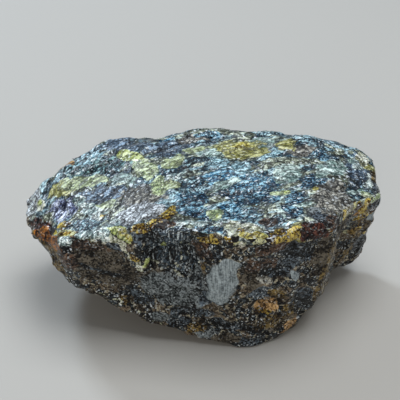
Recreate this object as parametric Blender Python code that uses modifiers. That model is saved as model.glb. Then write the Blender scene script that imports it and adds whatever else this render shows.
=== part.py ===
"""A lump of raw amber, as dug: one broken piece with a broad weathered top, steep crusted
sides that lean in towards a small foot, and a nose that lifts clear of the table.

It is cut the way the real lump broke. Two blocks are struck by one plane for each break
face and joined, the edges are worn round, shell-shaped scars are pushed in, and the
weathered relief of lumps, flakes, crumbs and pits is raised on the skin. Blender units are
metres, +Z is up and +X runs along the length, from the nose to the blunt end.
"""

import math

import bmesh
import bpy
from mathutils import Matrix, Vector, noise

NAME = "raw_amber"
MM = 0.001

# How the lump is cut, in millimetres.
BLOCK_SIDE = 300.0
SKIN_VOXEL = 0.9
EDGE_WEAR_PASSES = 20
SKIN_TRIANGLES = 9000
FOOT_SINK = 0.9
FOOT_MARGIN = 1.8

# One break face each: a point on it, the compass direction that it looks to (0 is +X, 90 is
# +Y) and how far it looks up (90) or down (-90). Millimetres and degrees.
BODY_BREAKS = {
    "top": ((7, -1, 41.6), -90, 88),
    "top_left": ((-25, -3, 38.3), 197, 73),
    "top_nose": ((-41, 3, 32.2), 190, 50),
    "top_right": ((36, -1, 39.3), -8, 72),
    "top_back": ((9, 20.8, 42.0), 90, 52),
    "top_back_right": ((31.6, 18.8, 40.2), 68, 58),
    "front": ((5, -25.5, 38), -97, -6),
    "front_right": ((21, -24.5, 34), -69, -9),
    "front_left": ((-38, -14, 26), 222, -14),
    "nose": ((-46.4, 1, 26), 192, -27),
    "back_left": ((-34, 16.5, 30), 119, 4),
    "back": ((9, 26, 24), 92, 6),
    "back_low": ((9, 23, 12), 90, -34),
    "back_right": ((37.2, 19.1, 36), 75, -4),
    "right_back": ((48.3, 14.3, 36), 31, -4),
    "corner": ((35, -13, 33), -18, -7),
    "corner_low": ((32.6, -9.2, 10), -20, -32),
    "front_low": ((2, -21.2, 3.3), -104, -40),
    "under_left": ((-19, -18.5, 9.6), 200, -66),
    "under_nose": ((-39.5, -2.8, 18.2), 203, -54),
    "under_right": ((29, -8.5, 3.6), -20, -56),
    "foot": ((0, 0, 0), 0, -90),
}
LOBE_BREAKS = {
    "top": BODY_BREAKS["top"],
    "top_right": BODY_BREAKS["top_right"],
    "top_back": BODY_BREAKS["top_back"],
    "top_back_right": BODY_BREAKS["top_back_right"],
    "front": ((42, -5, 34), -52, -18),
    "right": ((46.7, 7, 28), -2, -4),
    "right_low": ((47.2, 7, 14), -4, -16),
    "back_right": BODY_BREAKS["back_right"],
    "right_back": BODY_BREAKS["right_back"],
    "under": ((41, 7, 5.9), -10, -84),
    "left": ((19, 8, 24), 180, 0),
    "far": ((29, 21, 24), 90, -14),
}

# Shell-shaped scars and, where the depth is negative, swellings: a point on the skin, the
# compass direction and lift that it looks to, half its width, half its height, its depth
# and how far it is turned in its own plane. Millimetres and degrees.
SCARS = {
    "front_hollow": ((-6.5, -23.7, 31.0), -97, -6, 9.0, 7.5, 3.6, 14),
    "front_hollow_foot": ((-2.5, -23.4, 26.5), -97, -6, 5.0, 4.0, 1.4, 0),
    "front_left_shell": ((-23, -20.0, 18.5), -103, -10, 15.0, 8.0, 1.9, -22),
    "front_left_ledge": ((-25, -20.6, 30.5), -112, -8, 10.0, 3.4, 1.2, -16),
    "front_foot_shell": ((2, -22.0, 8.5), -97, -8, 10.0, 5.0, 1.2, -12),
    "grey_rub": ((4.6, -24.0, 24.5), -97, -6, 4.6, 9.5, -0.8, 6),
    "orange_scoop": ((16.5, -22.8, 15.0), -70, -9, 5.4, 4.0, 1.7, 0),
    "front_right_shell": ((19, -23.4, 29.0), -70, -9, 7.0, 5.0, 1.2, -18),
    "corner_chip": ((28.5, -20.5, 32.0), -60, -8, 3.4, 5.4, 1.3, 0),
    "corner_low_chip": ((27.0, -16.5, 9.0), -48, -24, 5.5, 6.0, 0.8, 0),
    "side_groove": ((38.0, -2.4, 17.0), -38, -12, 3.2, 13.0, 2.2, 8),
    "lobe_facet": ((43.5, 2.0, 12.0), -40, -18, 4.0, 5.4, 1.0, 0),
    "nose_ledge": ((-40, -11.0, 24.0), 215, -20, 10.0, 3.4, 1.5, 24),
    "nose_shell": ((-37, -14.5, 31.0), 222, 0, 4.8, 3.2, 1.1, 10),
    "rim_bite_mid": ((1.5, -25.0, 38.5), -95, 20, 4.4, 3.0, 1.5, 0),
    "rim_bite_left": ((-14.0, -23.0, 37.5), -97, 20, 4.0, 2.6, 1.2, 0),
    "rim_bite_right": ((26.5, -22.5, 39.0), -66, 30, 4.4, 2.8, 1.1, 0),
    "top_basin": ((9, -8, 41.5), -90, 88, 21.0, 12.0, 1.5, 10),
    "top_basin_right": ((29, 4, 40.0), -8, 76, 9.0, 6.0, 1.0, 20),
    "top_far_saddle": ((-15, 21.0, 41.0), 95, 45, 10.0, 7.0, 2.6, 0),
    "nose_basin": ((-35.5, -7.0, 34.7), 195, 66, 5.0, 6.2, 1.2, 0),
    "shoulder_basin": ((-31, 12, 37.5), 175, 72, 8.0, 5.0, 1.1, 20),
    "rim_knob": ((10.5, -24.6, 40.6), -92, 45, 4.6, 3.4, -0.9, 0),
    "back_shell": ((6, 26.0, 27.0), 92, 4, 16.0, 11.0, 3.6, 14),
    "back_shell_left": ((-17, 24.5, 22.0), 104, 2, 9.0, 10.0, 2.4, -20),
    "back_shell_low": ((14, 23.5, 11.0), 90, -30, 12.0, 5.0, 1.6, -8),
    "back_left_shell": ((-36, 15.0, 30.0), 119, 4, 8.0, 7.0, 2.2, 20),
    "back_right_shell": ((31, 20.5, 22.0), 78, -6, 8.0, 11.0, 2.3, -10),
    "right_shell": ((47.0, 11.0, 24.0), 4, -5, 6.0, 5.0, 0.8, 0),
    "under_shell": ((-25, 0, 12.0), 200, -64, 11.0, 13.0, 2.0, 30),
}

# The relief on the skin: how long, how wide and how high each kind is, in millimetres, and
# the direction that the flakes of the top follow in plan, in degrees from +X.
FLOW_ANGLE = 28.0
LUMP_SIZE, LUMP_HEIGHT = 15.0, 0.7
FLAKE_LENGTH, FLAKE_WIDTH, FLAKE_HEIGHT = 12.0, 4.2, 0.6
CRUMB_SIZE, CRUMB_HEIGHT = 5.5, 0.5
PIT_SIZE, PIT_DEPTH = 7.0, 0.7
RING_SPACING, RING_HEIGHT = 2.6, 0.1
RIM_WANDER_SIZE, RIM_WANDER = 7.0, 1.3

# Places where the crust is worn smooth: a point and the radius, in millimetres.
WORN_PLACES = {
    "grey_rub": ((4.6, -24.0, 25.0), 9.0),
    "front_left": ((-16, -21.5, 20.0), 12.0),
    "front_left_end": ((-30, -18.0, 24.0), 8.0),
    "lobe_facet": ((43.5, 2.0, 13.0), 5.0),
    "right_face": ((40.0, -6.0, 22.0), 7.0),
}
WORN_SHARE = 0.75


def smooth_step(low, high, value):
    share = min(max((value - low) / (high - low), 0.0), 1.0)
    return share * share * (3.0 - 2.0 * share)


def direction(compass, lift):
    """The unit vector with that compass direction and lift, in degrees."""
    turn, rise = math.radians(compass), math.radians(lift)
    return Vector((math.cos(turn) * math.cos(rise), math.sin(turn) * math.cos(rise), math.sin(rise)))


def clear_scene():
    for obj in list(bpy.data.objects):
        bpy.data.objects.remove(obj, do_unlink=True)


def collection_named(name):
    made = bpy.data.collections.new(name)
    bpy.context.scene.collection.children.link(made)
    return made


def struck_block(name, breaks, collection):
    """A block with one cut for each break face."""
    mesh = bmesh.new()
    bmesh.ops.create_cube(mesh, size=BLOCK_SIDE * MM)
    for point, compass, lift in breaks.values():
        cut = bmesh.ops.bisect_plane(
            mesh,
            geom=mesh.verts[:] + mesh.edges[:] + mesh.faces[:],
            plane_co=Vector(point) * MM,
            plane_no=direction(compass, lift),
            clear_outer=True,
        )
        rim = [item for item in cut["geom_cut"] if isinstance(item, bmesh.types.BMEdge)]
        if rim:
            bmesh.ops.contextual_create(mesh, geom=rim)
    bmesh.ops.recalc_face_normals(mesh, faces=mesh.faces)
    data = bpy.data.meshes.new(name)
    mesh.to_mesh(data)
    mesh.free()
    block = bpy.data.objects.new(name, data)
    collection.objects.link(block)
    return block


def bake_modifiers(obj):
    """The object's mesh with its modifiers applied, which takes the old mesh's place."""
    bpy.context.view_layer.update()
    evaluated = obj.evaluated_get(bpy.context.evaluated_depsgraph_get())
    data = bpy.data.meshes.new_from_object(evaluated)
    obj.modifiers.clear()
    obj.data = data


def join_and_wear(stone, lobe):
    """The lobe joined to the body, with an even skin and the sharp breaks worn round."""
    union = stone.modifiers.new("lobe", "BOOLEAN")
    union.operation = "UNION"
    union.object = lobe
    skin = stone.modifiers.new("skin", "REMESH")
    skin.mode = "VOXEL"
    skin.voxel_size = SKIN_VOXEL * MM
    wear = stone.modifiers.new("wear", "SMOOTH")
    wear.factor = 0.5
    wear.iterations = EDGE_WEAR_PASSES
    bake_modifiers(stone)


def scar_push(point, centre, compass, lift, half_width, half_height, depth, roll):
    """How far a scar moves a point of the skin, and which way. Its rim wanders a little."""
    outward = direction(compass, lift)
    across = Vector((0, 0, 1)).cross(outward).normalized()
    across.rotate(Matrix.Rotation(math.radians(roll), 3, outward))
    upward = outward.cross(across)
    offset = point - Vector(centre) + RIM_WANDER * noise.noise_vector(point / RIM_WANDER_SIZE)
    if abs(offset.dot(outward)) > max(half_width, half_height):
        return Vector((0, 0, 0))
    reach = math.hypot(offset.dot(across) / half_width, offset.dot(upward) / half_height)
    if reach >= 1.0:
        return Vector((0, 0, 0))
    rings = RING_HEIGHT * math.sin(2 * math.pi * reach * half_width / RING_SPACING)
    return -outward * (depth * (1.0 - reach * reach) + rings * (1.0 - reach))


def lumps(point):
    """Broad swellings over the whole skin."""
    return LUMP_HEIGHT * noise.fractal(point / LUMP_SIZE, 0.7, 2.1, 3, noise_basis="PERLIN_ORIGINAL")


def chips(point, size, height):
    """Flat chips side by side, each tilted its own way, with small steps between them."""
    centres = noise.voronoi(point / size)[1]
    tilt = noise.cell_vector(centres[0] * 7.0) * 2.0 - Vector((1, 1, 1))
    step = noise.cell(centres[0] * 5.0) - 0.5
    return height * (tilt.dot(point / size - centres[0]) + 0.6 * step)


def flakes(point):
    """Long overlapping flakes that follow the flow of the resin on the top."""
    along = point.copy()
    along.rotate(Matrix.Rotation(math.radians(-FLOW_ANGLE), 3, "Z"))
    along.x *= FLAKE_WIDTH / FLAKE_LENGTH
    return chips(along + Vector((3, 11, 5)), FLAKE_WIDTH, FLAKE_HEIGHT)


def pits(point):
    """Round pits in the crust, where grit has fallen out."""
    distances, centres = noise.voronoi(point / PIT_SIZE)
    open_here = noise.cell(centres[0] * 3.0) > 0.45
    return -PIT_DEPTH * (1.0 - smooth_step(0.0, 0.34, distances[0])) if open_here else 0.0


def roughness_left(point):
    """How much of the side's relief is left at a point, which is least in a worn place."""
    worn = max(1.0 - smooth_step(0.6, 1.2, (point - Vector(centre)).length / radius)
               for centre, radius in WORN_PLACES.values())
    return 1.0 - WORN_SHARE * worn


def skin_relief(point, normal):
    """The height of the weathered relief at a point of the skin, in millimetres."""
    on_top = smooth_step(0.35, 0.75, normal.z)
    crust = chips(point, CRUMB_SIZE, CRUMB_HEIGHT) + pits(point)
    side = (1.0 - on_top) * roughness_left(point) * crust
    raised = lumps(point) + on_top * flakes(point) + side
    above_foot = smooth_step(0.0, FOOT_MARGIN, point.z)
    return raised * above_foot


def weather(stone):
    """Pushes the scars in and raises the relief, along the normals of the worn skin."""
    data = stone.data
    normals = [Vector(item.vector) for item in data.vertex_normals]
    for vertex, normal in zip(data.vertices, normals):
        point = vertex.co / MM
        moved = point.copy()
        for scar in SCARS.values():
            moved += scar_push(point, *scar)
        moved += normal * skin_relief(point, normal)
        vertex.co = moved * MM


def thin_out(stone):
    """Fewer triangles, kept where the relief needs them."""
    stone.data.calc_loop_triangles()
    fewer = stone.modifiers.new("fewer", "DECIMATE")
    fewer.ratio = SKIN_TRIANGLES / len(stone.data.loop_triangles)
    fewer.use_collapse_triangulate = True
    bake_modifiers(stone)


def flatten_foot(stone):
    """Cuts the foot off flat, so that the lump stands on one worn face at z = 0."""
    mesh = bmesh.new()
    mesh.from_mesh(stone.data)
    cut = bmesh.ops.bisect_plane(
        mesh,
        geom=mesh.verts[:] + mesh.edges[:] + mesh.faces[:],
        plane_co=Vector((0, 0, FOOT_SINK * MM)),
        plane_no=Vector((0, 0, -1)),
        clear_outer=True,
    )
    rim = [item for item in cut["geom_cut"] if isinstance(item, bmesh.types.BMEdge)]
    bmesh.ops.holes_fill(mesh, edges=rim)
    bmesh.ops.triangulate(mesh, faces=mesh.faces)
    bmesh.ops.recalc_face_normals(mesh, faces=mesh.faces)
    mesh.to_mesh(stone.data)
    mesh.free()


def centre_on_origin(stone):
    """Moves the mesh so that the origin is the middle of its box, at the level of the foot."""
    for axis in range(3):
        values = [vertex.co[axis] for vertex in stone.data.vertices]
        middle = min(values) if axis == 2 else (min(values) + max(values)) / 2
        for vertex in stone.data.vertices:
            vertex.co[axis] -= middle


def amber_material():
    material = bpy.data.materials.new("weathered_amber")
    material.use_nodes = True
    shader = material.node_tree.nodes["Principled BSDF"]
    shader.inputs["Base Color"].default_value = (0.09, 0.055, 0.03, 1.0)
    shader.inputs["Roughness"].default_value = 0.42
    shader.inputs["Metallic"].default_value = 0.0
    return material


def main():
    clear_scene()
    parts = collection_named("raw_amber_lump")
    helpers = collection_named("helpers")
    stone = struck_block(NAME, BODY_BREAKS, parts)
    lobe = struck_block("lobe_block", LOBE_BREAKS, helpers)
    join_and_wear(stone, lobe)
    bpy.data.objects.remove(lobe, do_unlink=True)
    weather(stone)
    thin_out(stone)
    flatten_foot(stone)
    centre_on_origin(stone)
    stone.data.materials.clear()
    stone.data.materials.append(amber_material())


main()
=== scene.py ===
# %% [markdown]
# # A lump of raw amber
#
# Raw amber is fossil tree resin as it comes out of the ground. This lump is one piece, about
# as long as a finger, and it has three looks at once. The broad top is a weathered break along
# the resin's old flow: long thin flakes, some glassy and blue-black, some bleached to cream
# and frost. The sides are a dull, dark crust of grit and rotted resin. Along the rim and in a
# few chips the clear amber shows through, orange or cherry red.
#
# The solid model gives the true form. This script dresses it: it copies the form, grows a fine
# skin on it, marks out where each finish lies, and mixes the finishes in one material.

# %% Load the frame
import math

import bmesh
import bpy
import numpy as np
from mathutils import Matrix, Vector, noise
from mathutils.kdtree import KDTree


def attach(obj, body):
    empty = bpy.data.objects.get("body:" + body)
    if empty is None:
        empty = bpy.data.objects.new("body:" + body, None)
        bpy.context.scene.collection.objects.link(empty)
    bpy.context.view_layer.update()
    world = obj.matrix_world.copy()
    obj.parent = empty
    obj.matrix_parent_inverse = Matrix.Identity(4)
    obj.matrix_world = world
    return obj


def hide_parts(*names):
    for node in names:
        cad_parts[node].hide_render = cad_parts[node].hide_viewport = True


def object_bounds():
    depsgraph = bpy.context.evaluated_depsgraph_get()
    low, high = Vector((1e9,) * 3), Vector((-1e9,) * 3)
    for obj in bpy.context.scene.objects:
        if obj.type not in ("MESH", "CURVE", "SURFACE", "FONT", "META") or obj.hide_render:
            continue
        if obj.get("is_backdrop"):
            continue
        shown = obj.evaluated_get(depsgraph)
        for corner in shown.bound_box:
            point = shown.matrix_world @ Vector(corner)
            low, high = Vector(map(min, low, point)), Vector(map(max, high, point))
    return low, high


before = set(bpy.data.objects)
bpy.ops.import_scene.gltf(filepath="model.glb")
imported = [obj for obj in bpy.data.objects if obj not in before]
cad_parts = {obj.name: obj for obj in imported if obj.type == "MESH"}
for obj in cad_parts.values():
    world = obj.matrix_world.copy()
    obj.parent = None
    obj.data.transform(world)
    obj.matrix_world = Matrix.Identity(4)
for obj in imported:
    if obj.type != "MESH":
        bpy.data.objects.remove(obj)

MM = 0.001
solid_low, solid_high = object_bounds()
print("solid, mm:", [round(side / MM, 1) for side in solid_high - solid_low])

# %% [markdown]
# ## The fine skin
#
# The solid has flat triangles about 2 mm long. A lump of resin has none, so the skin is made
# anew: a copy of the solid is remeshed into even squares under half a millimetre wide, fine
# enough for a flake or a crumb to have a shape of its own, and a light smoothing takes the
# old triangles' edges away. Subdivision would only have rounded the big triangles.

# %% Copy and remesh the solid
SAME_POINT = 0.01  # mm, corners nearer than this are one point
SKIN_VOXEL = 0.47  # mm, the side of a square
SKIN_SMOOTHING, SKIN_PASSES = 0.5, 5


def baked(obj):
    """The mesh that the object's modifiers make, in place of the one it had."""
    bpy.context.view_layer.update()
    graph = bpy.context.evaluated_depsgraph_get()
    made = bpy.data.meshes.new_from_object(obj.evaluated_get(graph))
    obj.modifiers.clear()
    obj.data = made
    return made


def fine_skin(node):
    """A copy of the node's mesh, remade in even squares. The node itself is left alone."""
    mesh = bmesh.new()
    mesh.from_mesh(node.data)
    bmesh.ops.remove_doubles(mesh, verts=mesh.verts, dist=SAME_POINT * MM)
    data = bpy.data.meshes.new("amber_skin")
    mesh.to_mesh(data)
    mesh.free()
    skin = bpy.data.objects.new("amber_skin", data)
    bpy.context.scene.collection.objects.link(skin)
    remesh = skin.modifiers.new("even squares", "REMESH")
    remesh.mode = "VOXEL"
    remesh.voxel_size = SKIN_VOXEL * MM
    smooth = skin.modifiers.new("no old edges", "SMOOTH")
    smooth.factor = SKIN_SMOOTHING
    smooth.iterations = SKIN_PASSES
    baked(skin)
    return skin


skin = fine_skin(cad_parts["raw_amber"])
print("skin:", len(skin.data.vertices), "points")

# %% [markdown]
# ## The flow
#
# Resin sets in layers as it runs. On this lump the layers run in one long arch: they climb
# away from the left end, lie level past the middle and fall off to the right. Everything on
# the top follows that arch, so the skin carries its own coordinates: how far along the flow a
# point is, how far across it, and its height. A pattern that reads them bends with the arch,
# which a turned grid of object coordinates could not do.

# %% Lay the flow over the skin
ARCH_SLOPE = 0.42   # how steeply the flow climbs where it crosses the middle
ARCH_BEND = 0.0065  # half of what each millimetre to the right takes off that slope


def arch(x):
    """How far back the middle line of the flow lies, and its slope, x millimetres along."""
    return ARCH_SLOPE * x - ARCH_BEND * x * x, ARCH_SLOPE - 2 * ARCH_BEND * x


def read_points(data):
    """A mesh's points or normals as rows of three numbers."""
    numbers = np.empty(len(data) * 3, np.float32)
    data.foreach_get("co" if hasattr(data[0], "co") else "vector", numbers)
    return numbers.reshape(-1, 3).astype(float)


points = read_points(skin.data.vertices) / MM
normals = read_points(skin.data.vertex_normals)
middle_line, slope = arch(points[:, 0])
across_flow = (points[:, 1] - middle_line) / np.hypot(1, slope)
flow = np.column_stack((points[:, 0], across_flow, points[:, 2]))
skin.data.attributes.new("flow", "FLOAT_VECTOR", "POINT").data.foreach_set("vector", flow.ravel())
left, right = (round(math.degrees(math.atan(arch(x)[1]))) for x in (-40, 40))
print("the flow turns from", left, "to", right, "degrees")

# %% [markdown]
# ## Where each finish lies
#
# A finish is one way that the surface of this lump looks: frost, olive, honey and so on. Each
# has places on the lump, in millimetres. A spot is an oval on the skin: its middle, half its
# length, half its width and, where it isn't level, how many degrees its length is turned up
# from the lump's long side. A run is a ribbon along a few points: half its width, then the
# points. An image could hold the same thing, but it would slide and stretch over a lump that
# has no natural seams. Places in space need no unwrapping, and each can be moved alone.

# %% The spots on the top
SPOTS = {
    "drab": {
        "left of middle": ((-15.4, -8.2, 39.6), 5.4, 3.6, -20),
        "far right band": ((25.9, 10.8, 40.9), 5.4, 1.8, 6),
        "right shoulder": ((32.8, -7.6, 38.6), 6.9, 4.2, 69),
        "far rim": ((-2.0, 16.5, 41.2), 4.0, 1.6),
    },
    "slate": {
        "far left shoulder": ((-22.1, 15.8, 39.1), 5.6, 3.4, 86),
        "behind the cream": ((-9.3, 12.4, 40.9), 5.2, 3.4, 6),
        "beside the cream": ((-16.6, 13.2, 40.8), 3.2, 2.4),
        "left band": ((-27.4, -4.8, 36.7), 7.4, 2.6, 4),
        "right end": ((41.3, 6.8, 37.0), 6.8, 3.2, 73),
    },
    "navy": {
        "middle left": ((-2.8, -11.5, 38.9), 5.3, 3.6, 84),
        "middle": ((13.6, -7.3, 38.4), 7.4, 3.4),
        "middle front": ((6.0, -17.0, 39.4), 5.5, 2.6),
        "right": ((28.7, -1.2, 40.1), 4.0, 2.3, 45),
        "right front": ((22.0, -10.0, 39.8), 3.8, 2.8),
        "in the fork": ((22.4, -15.5, 40.2), 2.2, 2.8, 60),
        "far right": ((33.0, 9.5, 39.6), 3.4, 1.8, -20),
        "far rim": ((2.0, 17.8, 40.6), 3.6, 1.2),
    },
    "teal": {
        "left shoulder": ((-27.7, 7.1, 38.0), 8.0, 3.7),
        "far left": ((-31.0, 12.0, 37.0), 4.0, 2.0, 20),
    },
    "violet": {"striped": ((-34.2, -5.5, 33.4), 4.4, 3.4)},
    # sky: dark glassy resin with a painted blue sheen, put into the colour
    "sky": {
        "left": ((6.4, -1.1, 40.0), 6.4, 2.9, 1),
        "middle": ((14.0, -2.5, 39.1), 5.7, 2.6, 4),
        "front": ((7.4, -13.0, 39.0), 3.0, 2.6, 68),
        # a painted glint: a small bright blue spot that stands for light flashing off the top
        "far painted glint": ((-9.5, 17.9, 40.0), 1.7, 1.3),
    },
    "olive": {
        "far": ((10.4, 11.6, 40.9), 6.6, 3.6, 4),
        "far right": ((22.3, 12.6, 41.7), 2.8, 2.2, 40),
        "right corner": ((44.5, 10.5, 36.2), 2.2, 1.6),
        "left lens": ((-36.0, 2.0, 34.4), 4.4, 2.8, -14),
        "left rim": ((-34.8, -16.2, 33.2), 3.0, 1.3, -15),
        "front rim": ((22.0, -23.6, 39.6), 3.0, 1.3, 20),
    },
    "sage": {
        "left lens": ((-31.0, 2.4, 35.8), 6.0, 2.7, -14),
        "oval": ((-6.6, 5.2, 41.1), 3.2, 2.0, 50),
        "near the fork": ((20.2, -7.0, 39.1), 2.4, 1.2, -10),
        "left of the front": ((-25.4, -8.6, 36.6), 4.4, 1.2, 10),
        "far left of the band": ((-1.0, 11.0, 41.3), 3.0, 1.6, 20),
        "middle": ((-8.7, -5.0, 39.5), 3.4, 1.8, 45),
    },
    "mist": {
        "left cluster": ((-20.4, 0.2, 39.1), 3.4, 2.1, -20),
        "far band": ((2.9, 9.1, 41.4), 4.8, 2.2, 3),
        "far rim": ((16.3, 14.9, 40.9), 2.7, 2.2),
        "right of middle": ((22.1, 0.7, 39.8), 3.4, 2.7, 30),
        "right": ((33.6, 4.2, 39.3), 5.0, 2.4, 44),
        "right end": ((40.5, 11.0, 37.6), 1.8, 1.0, 50),
        "right end near": ((40.0, -1.6, 36.6), 3.0, 0.9, 40),
        "streak": ((5.3, -3.6, 39.5), 3.8, 1.2, 38),
        "fork right": ((25.7, -12.7, 40.0), 2.8, 0.9, 25),
    },
    "lilac": {
        "left front": ((-15.3, -15.2, 38.8), 6.2, 3.3, -10),
        "nose": ((-45.0, 6.0, 27.6), 5.5, 2.6, -66),
    },
    "cream": {
        "band far": ((-14.3, 2.5, 40.7), 4.4, 2.4, -67),
        "band near": ((-11.2, -4.1, 40.2), 2.6, 1.8, -88),
        "bead": ((3.6, -16.9, 39.2), 1.8, 2.5),
    },
    "bone": {
        "front rim": ((10.2, -23.4, 40.8), 4.3, 2.5, -7),
        "left rim": ((-24.6, -19.0, 36.6), 3.6, 1.5, 15),
        "right end": ((43.2, 12.4, 36.9), 1.5, 2.4),
        "nose": ((-41.8, 1.4, 30.2), 3.2, 1.5, -62),
    },
    "ice": {
        "oval": ((4.1, 4.9, 40.7), 3.0, 2.1, 45),
        "oval right": ((10.3, 3.1, 41.0), 2.9, 1.9, 88),
        "far left": ((-30.0, 12.5, 37.0), 4.0, 1.6, 25),
        "far rim": ((18.0, 9.5, 40.9), 4.5, 1.5, 10),
    },
    "frost": {
        "left ridge": ((-23.6, -18.0, 36.7), 3.8, 1.5, 20),
        "right end": ((43.8, 4.0, 35.8), 0.9, 3.4),
        "right end two": ((41.4, 9.0, 37.4), 1.4, 2.2),
    },
    "lime": {
        "patch": ((-19.0, 8.7, 40.4), 3.8, 1.8, -35),
        "nose": ((-42.4, 2.4, 30.0), 1.7, 0.8, -62),
        "ridge top": ((-20.8, -20.2, 37.6), 3.0, 1.6, -30),
        "dot": ((21.9, -7.0, 39.5), 0.9, 0.6),
        "bead": ((3.7, -16.5, 39.3), 0.6, 0.9),
        "front rim": ((14.0, -25.0, 40.0), 1.8, 0.8),
        "ridge foot": ((-13.6, -20.9, 28.9), 0.8, 0.9),
        "in the hollow": ((-8.7, -19.9, 32.5), 0.8, 1.0),
    },
    "gold": {
        "far": ((10.9, 12.9, 40.9), 2.3, 1.4, 10),
        "right": ((29.0, -5.2, 39.7), 1.2, 0.7),
        "ridge top": ((-19.4, -20.8, 37.8), 1.7, 0.9, -30),
        "front rim": ((12.6, -25.4, 39.8), 3.0, 0.9),
    },
    "honey": {
        "front rim dot": ((9.3, -24.2, 40.5), 1.0, 0.8),
        "front rim dot two": ((13.4, -25.2, 39.9), 1.1, 0.8),
        "right rim": ((20.6, -24.4, 38.6), 3.9, 1.7, 8),
        "ridge": ((-15.0, -21.0, 39.0), 2.0, 0.9, -10),
        "ridge low": ((-16.6, -22.0, 30.0), 0.7, 1.2),
        "left rim": ((-34.8, -12.2, 33.0), 2.2, 1.0, -20),
        "left edge": ((-24.3, -12.4, 36.1), 1.1, 0.7),
        "left rim two": ((-34.4, -16.6, 33.4), 1.9, 0.8, -10),
        "under the rim": ((1.6, -23.2, 36.9), 2.0, 1.2),
        "lobe": ((44.4, 4.0, 18.9), 1.0, 1.7),
        "lobe top": ((42.0, -3.4, 32.6), 1.5, 1.9),
        "lobe middle": ((43.2, -2.6, 28.4), 1.0, 1.6),
        "shoulder": ((37.0, -12.0, 36.0), 1.1, 1.4),
    },
    "cherry": {"right rim": ((27.4, -21.4, 37.2), 3.5, 1.9, -8)},
}
print("spots on the top:", sum(len(places) for places in SPOTS.values()))

# %% The runs on the top and the rim
RUNS = {
    "mist": {"fork left": (0.9, (20.4, -8.6, 39.3), (19.6, -13.0, 40.2), (19.8, -18.0, 40.3))},
    "cream": {
        "right end rim": (0.8, (40.8, -2.0, 34.4), (43.5, -1.0, 34.0), (46.4, 0.5, 33.4)),
    },
    "bone": {
        "front ridge": (0.8, (-22.8, -20.9, 36.2), (-20.1, -21.6, 34.8), (-18.6, -22.0, 32.4),
                        (-17.2, -21.8, 29.8), (-14.6, -20.8, 26.4)),
    },
    "frost": {
        "left streak": (1.5, (-31.6, -4.2, 35.2), (-28.5, -9.0, 35.6), (-25.0, -13.6, 36.3)),
        "ledge": (0.9, (-36.4, -16.8, 32.2), (-34.8, -18.6, 32.4), (-32.8, -19.2, 32.8)),
        "ledge two": (1.4, (-30.0, -18.2, 35.0), (-26.6, -19.4, 35.8), (-23.6, -20.4, 36.4)),
        "stripe": (0.4, (-37.0, -7.6, 32.4), (-34.6, -3.0, 34.0)),
        "stripe two": (0.4, (-34.6, -8.2, 33.2), (-32.4, -3.4, 34.8)),
        "front rim": (0.9, (-5.0, -20.4, 40.0), (-2.2, -21.4, 40.2), (1.4, -20.4, 39.9),
                      (6.0, -20.9, 40.2)),
        "right rim": (0.6, (18.9, -22.8, 39.8), (22.2, -20.9, 39.6), (24.6, -17.4, 39.8)),
        "left streak one": (0.6, (-37.4, 6.6, 34.7), (-32.2, 8.0, 35.9), (-27.0, 7.6, 38.0)),
        "left streak two": (0.6, (-33.0, 10.7, 35.6), (-28.7, 11.5, 37.2), (-24.0, 12.6, 38.9)),
        "by the cream": (0.7, (-8.5, -2.8, 40.6), (-5.4, -0.8, 40.8), (-3.6, 1.8, 40.8)),
    },
    "navy": {"front rim": (1.1, (-1.0, -22.5, 39.7), (2.6, -23.3, 39.8), (6.4, -23.2, 39.7))},
    "honey": {"step": (1.4, (-11.5, -20.5, 39.8), (-8.8, -18.1, 40.6), (-6.6, -14.6, 39.8))},
    "cherry": {"nose": (1.4, (-44.2, -4.0, 28.6), (-41.8, -8.0, 30.0), (-39.0, -11.6, 31.2))},
    "amber": {"window": (1.8, (-42.0, -9.2, 28.6), (-39.2, -13.4, 29.6), (-35.8, -17.6, 30.4)),
              "edge": (0.8, (-43.5, -7.5, 25.5), (-41.5, -11.5, 24.5), (-39.0, -15.0, 24.5))},
    "rind": {
        "left rim": (1.2, (-38.6, -10.6, 31.6), (-34.0, -15.6, 32.8), (-30.0, -18.6, 34.0)),
        "step": (1.0, (-16.0, -22.0, 38.0), (-12.5, -22.4, 38.6), (-9.0, -21.0, 39.2)),
        "right rim": (2.0, (8.0, -25.4, 38.8), (14.0, -25.4, 38.8), (19.0, -24.8, 38.0),
                      (25.0, -21.6, 38.0), (30.5, -18.4, 38.2), (34.5, -14.0, 37.4)),
        "right end": (1.8, (34.5, -14.0, 36.4), (38.4, -7.0, 35.6), (42.0, -3.0, 33.0),
                      (44.5, 2.0, 30.0)),
    },
}
print("runs on the top:", sum(len(places) for places in RUNS.values()))

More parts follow.
